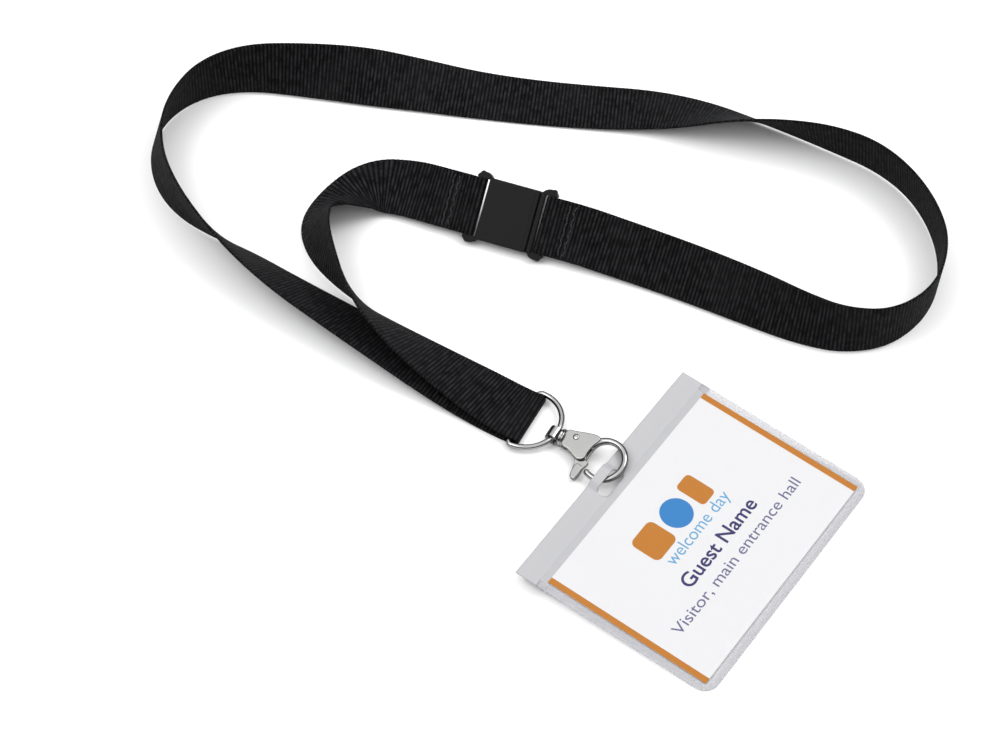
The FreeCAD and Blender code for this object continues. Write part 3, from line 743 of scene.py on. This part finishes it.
def gate_lever():
    """Gate between the cheeks, with its nose against the claw and a thumb lever."""
    shape = [(7.4, 2.4), (9.6, 2.7), (13.0, 1.5), (13.7, -1.8), (14.1, -4.2), (15.3, -4.9), (15.4, -5.9)]
    shape += [(14.7, -7.5), (14.1, -9.6), (13.9, -11.7), (12.9, -12.0)]
    shape += [(11.7, -11.4), (11.3, -8.4), (10.5, -5.6), (7.0, 0.2)]
    outline = list(reversed(smooth_outline(shape, 5)))
    parts = [soften(slab("gate_plate", outline, -0.65, 0.65, HOOK), 0.25, 3)]
    pad = [(12.2, -6.6), (14.5, -7.4), (13.9, -11.6), (12.9, -12.0), (11.8, -11.3), (11.5, -8.6)]
    pad = smooth_outline(pad, 5)
    parts.append(soften(slab("thumb_pad", list(reversed(pad)), -1.0, 1.0, HOOK), 0.4, 3))
    return joined("gate_lever", parts)


def gate_pin():
    profile = [(-2.05, 0.3), (-2.05, 0.8), (-1.9, 1.05), (-1.75, 1.1), (-1.7, 0.8), (1.7, 0.8), (1.8, 1.1)]
    profile += [(1.92, 1.08), (2.08, 0.85), (2.16, 0.5), (2.18, 0.15)]
    return turned_piece("gate_pin", profile, "Z", HOOK, (8.1, 1.4, 0), 32)


finish_piece(hook_body(), NICKEL, "hook", ["hook_body"])
finish_piece(gate_lever(), NICKEL, "gate", ["gate_lever"])
finish_piece(gate_pin(), NICKEL, "hook", ["gate_pin"])
for node_name, material in (("d_ring", NICKEL), ("swivel_eye", NICKEL), ("gate_spring", SPRING)):
    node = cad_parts[node_name]
    node.data.materials.clear()
    node.data.materials.append(material)


# ---------------------------------------------------------------- vinyl holder
HALF = 48.0
FLANGE = 10.4
BOTTOM = 63.4
CORNER = 5.5
SLOT_X, SLOT_Y = -2.5, 4.9
SLOT_REACH, SLOT_HALF = 3.7, 2.0
MOUTH = 2.6
WELD_REACH = 2.6
BACK_THICK, FRONT_THICK = 0.4, 0.15
CARD_LOW, CARD_HIGH = 0.05, 0.33


def eased(value):
    value = min(1.0, max(0.0, value))
    return value * value * (3 - 2 * value)


def bridge_rise(x, y):
    """How far the strip beyond the slot is lifted by the hook's wire."""
    if y < SLOT_Y:
        return 0.0
    across = 1 - eased((abs(x - SLOT_X) - 2.6) / 4.0)
    return 2.0 * across * eased((y - SLOT_Y - 1.7) / 0.3)


def sheet_columns():
    """x positions, closer together round the slot and the corners."""
    columns = [-HALF + 0.4 * i for i in range(15)]
    columns += [-42 + 1.0 * i for i in range(30)]
    columns += [-12 + 0.35 * i for i in range(55)]
    columns += [7.25 + 1.0 * i for i in range(36)]
    columns += [HALF - 0.4 * i for i in range(14, -1, -1)]
    ends = [SLOT_X - SLOT_REACH - SLOT_HALF, SLOT_X + SLOT_REACH + SLOT_HALF]
    return sorted(set(round(x, 4) for x in columns + ends))


def slot_half_width(x):
    beyond = abs(x - SLOT_X) - SLOT_REACH
    if beyond >= SLOT_HALF - 1e-6:
        return 0.0
    if beyond <= 0:
        return SLOT_HALF
    return math.sqrt(SLOT_HALF ** 2 - beyond ** 2)


def low_edge(x, half, bottom, corner):
    beyond = abs(x) - (half - corner)
    if beyond <= 0:
        return -bottom
    return -bottom + corner - math.sqrt(max(corner ** 2 - beyond ** 2, 0))


def slotted_sheet():
    """Back film as a surface of quads that runs round the hang slot."""
    verts, faces, index = [], [], {}

    def vertex(x, y):
        key = (round(x, 4), round(y, 4))
        if key not in index:
            index[key] = len(verts)
            verts.append((x, y, bridge_rise(x, y)))
        return index[key]

    columns = sheet_columns()
    lower_rows, upper_rows = 60, 12
    for left, right in zip(columns, columns[1:]):
        grid = []
        for x in (left, right):
            gap = slot_half_width(x)
            low = low_edge(x, HALF, BOTTOM, CORNER)
            lower = [vertex(x, low + (SLOT_Y - gap - low) * i / lower_rows) for i in range(lower_rows + 1)]
            base = SLOT_Y + gap
            upper = [vertex(x, base + (FLANGE - base) * i / upper_rows) for i in range(upper_rows + 1)]
            grid.append((lower, upper))
        for part in (0, 1):
            near, far = grid[0][part], grid[1][part]
            for a, b, c, d in zip(near, near[1:], far, far[1:]):
                ring = (a, c, d, b)
                corners = [v for k, v in enumerate(ring) if v not in ring[:k]]
                if len(corners) > 2:
                    faces.append(tuple(corners))
    return verts, faces


def thicken(obj, thickness, offset):
    modifier = obj.modifiers.new("thickness", "SOLIDIFY")
    modifier.thickness = thickness * MM
    modifier.offset = offset
    modifier.use_even_offset = False
    return obj


def front_height(x, y):
    """Front film's height: clear of the card, down to the welds, with two raised weld lines."""
    side = HALF - abs(x)
    foot = y + BOTTOM
    corner_x, corner_y = abs(x) - (HALF - CORNER), -(y + BOTTOM - CORNER)
    rim = min(side, foot)
    if corner_x > 0 and corner_y > 0:
        rim = CORNER - math.hypot(corner_x, corner_y)
    height = 0.33 * eased((rim - 1.7) / 1.6)
    wander = 0.22 * math.sin(x * 0.21 + 1.3) + 0.15 * math.sin(y * 0.33)
    height += 0.34 * math.exp(-((rim - 0.75) / 0.32) ** 2)
    height += 0.26 * math.exp(-((rim - 1.95 - wander * 0.4) / 0.28) ** 2)
    lift = 0.10 * math.sin(x * 0.09 + 0.6) * math.sin(y * 0.07 + 1.1)
    lift *= eased((rim - 3) / 8) * eased((MOUTH - y) / 8)
    return 0.05 + height + max(0.0, lift)


def front_sheet():
    """Front film as a grid, closer together over the welds."""
    offsets = [0, 0.2, 0.45, 0.6, 0.75, 0.9, 1.1, 1.4, 1.65, 1.8]
    offsets += [1.95, 2.1, 2.3, 2.6, 3.0, 3.5, 4.2, 5, 6, 7.5]
    columns = [-HALF + offset for offset in offsets]
    columns += [-HALF + 9 + 1.5 * i for i in range(53)]
    columns += [HALF - offset for offset in offsets]
    columns = sorted(set(round(x, 4) for x in columns))
    verts, faces = [], []
    spans = [o / (BOTTOM + MOUTH) for o in offsets]
    spans += [spans[-1] + (1 - spans[-1]) * (i + 1) / 34 for i in range(34)]
    for x in columns:
        low = low_edge(x, HALF, BOTTOM, CORNER)
        for share in spans:
            y = low + (MOUTH - low) * share
            verts.append((x, y, front_height(x, y)))
    rows = len(spans)
    for i in range(len(columns) - 1):
        for j in range(rows - 1):
            a = i * rows + j
            faces.append((a, a + rows, a + rows + 1, a + 1))
    return verts, faces


back_verts, back_faces = slotted_sheet()
holder_back = thicken(mesh_piece("holder_back", back_verts, back_faces, HOLDER), BACK_THICK, -1)
finish_piece(holder_back, GREY_FILM, "holder", ["holder_back"])
holder_back.data.materials.append(RIM_FILM)
for polygon in holder_back.data.polygons:
    if all(back_verts[i][1] < 0 for i in polygon.vertices):
        polygon.material_index = 1
front_verts, front_faces = front_sheet()
holder_front = thicken(mesh_piece("holder_front", front_verts, front_faces, HOLDER), FRONT_THICK, 1)
finish_piece(holder_front, CLEAR_FILM, "holder", ["holder_front", "weld_seam"])
holder_front.data.materials.append(WELD_FILM)
for polygon in holder_front.data.polygons:
    corners = [front_verts[i] for i in polygon.vertices]
    if any(abs(x) > HALF - WELD_REACH or y < WELD_REACH - BOTTOM for x, y, z in corners):
        polygon.material_index = 1


# ---------------------------------------------------------------- printed card
def sheet_outline(x, y, corner, steps=6):
    outline = []
    for cx, cy, start in ((x[1], y[1], 0), (x[0], y[1], 90), (x[0], y[0], 180), (x[1], y[0], 270)):
        sx = -corner if cx == x[1] else corner
        sy = -corner if cy == y[1] else corner
        outline += arc((cx + sx, cy + sy), corner, start, start + 90, steps)
    return outline


card = slab("card", sheet_outline((-45, 45), (-60, 0), 1.5), CARD_LOW, CARD_HIGH, HOLDER, False)
finish_piece(card, CARD_WHITE, "card", ["card"])


def print_patch(name, outline, material):
    patch = slab(name, outline, CARD_HIGH, CARD_HIGH + 0.02, HOLDER, False)
    return finish_piece(patch, material, "card")


def oblong(x0, x1, y0, y1):
    return [(x0, y0), (x1, y0), (x1, y1), (x0, y1)]


print_patch("print_stripe_left", oblong(-45, -42.8, -60, 0), INK_ORANGE)
print_patch("print_stripe_right", oblong(42.8, 45, -60, 0), INK_ORANGE)
print_patch("print_block_1", sheet_outline((-17.8, -6.4), (-24.0, -12.8), 2.2), INK_ORANGE)
print_patch("print_block_2", arc((1.0, -18.4), 5.6, 0, 350, 35), INK_BLUE)
print_patch("print_block_3", sheet_outline((8.6, 15.6), (-24.0, -12.8), 1.6), INK_ORANGE)


def print_words(name, words, x, y, height, width, material, heavy=0.0):
    """Generic printed words, scaled to a width, flat on the card."""
    text = bpy.data.curves.new(name, "FONT")
    text.body = words
    text.size = height
    text.offset = heavy
    text.align_x = "CENTER"
    helper = bpy.data.objects.new(name + "_text", text)
    bpy.context.collection.objects.link(helper)
    bpy.context.view_layer.update()
    flat = bpy.data.meshes.new_from_object(helper)
    xs = [v.co.x for v in flat.vertices]
    stretch = width / (max(xs) - min(xs))
    verts = [(x + v.co.x * stretch, y + v.co.y, CARD_HIGH + 0.015) for v in flat.vertices]
    faces = [tuple(p.vertices) for p in flat.polygons]
    bpy.data.objects.remove(helper)
    bpy.data.curves.remove(text)
    bpy.data.meshes.remove(flat)
    return finish_piece(mesh_piece(name, verts, faces, HOLDER, False), material, "card")


print_words("print_line_1", "welcome day", 0.6, -28.9, 6.2, 33.0, INK_SKY)
print_words("print_line_2", "Guest Name", 0.0, -37.6, 7.0, 39.5, INK_NAVY, 0.11)
print_words("print_line_3", "Visitor, main entrance hall", 0.0, -44.4, 5.6, 71.0, INK_MAUVE, 0.01)


# ---------------------------------------------------------------- floor and light
def build_floor():
    half = 3.0
    corners = [(-half, -half, 0), (half, -half, 0), (half, half, 0), (-half, half, 0)]
    floor = mesh_piece("floor", corners, [(0, 1, 2, 3)])
    floor.location.z = -0.0001
    material, tree, surface = shader("floor", Roughness=0.9, Specular_IOR_Level=0.1)
    surface.inputs["Base Color"].default_value = (0.93, 0.93, 0.93, 1)
    floor.data.materials.append(material)


def area_light(name, place, aim, size, power, colour=(1, 1, 1)):
    lamp = bpy.data.lights.new(name, "AREA")
    lamp.shape = "RECTANGLE"
    lamp.size, lamp.size_y = size
    lamp.energy = power
    lamp.color = colour
    obj = bpy.data.objects.new(name, lamp)
    obj.location = place
    obj.rotation_euler = (Vector(aim) - Vector(place)).to_track_quat("-Z", "Y").to_euler()
    bpy.context.collection.objects.link(obj)


def build_world():
    """Bright above and darker towards the horizon, so that bright metal has dark lines to show."""
    world = bpy.data.worlds.new("studio")
    world.use_nodes = True
    tree = world.node_tree
    place = add(tree, "ShaderNodeSeparateXYZ")
    wire(tree, add(tree, "ShaderNodeTexCoord").outputs["Generated"], place.inputs[0])
    share = remap(tree, place.outputs["Z"], 0.45, 0.7, 0.0, 1.0)
    colour = blend_colours(tree, share, (0.03, 0.03, 0.035, 1), (1.0, 1.0, 1.0, 1))
    wire(tree, colour, tree.nodes["Background"].inputs["Color"])
    tree.nodes["Background"].inputs["Strength"].default_value = 1.55
    bpy.context.scene.world = world


build_floor()
build_world()
area_light("key", (1.0, 0.3, 1.5), (0, 0, 0), (0.9, 0.9), 11.0)
area_light("fill", (-1.0, -0.1, 1.6), (0, 0, 0), (0.9, 0.9), 9.0)
bpy.context.scene.view_settings.view_transform = "Standard"
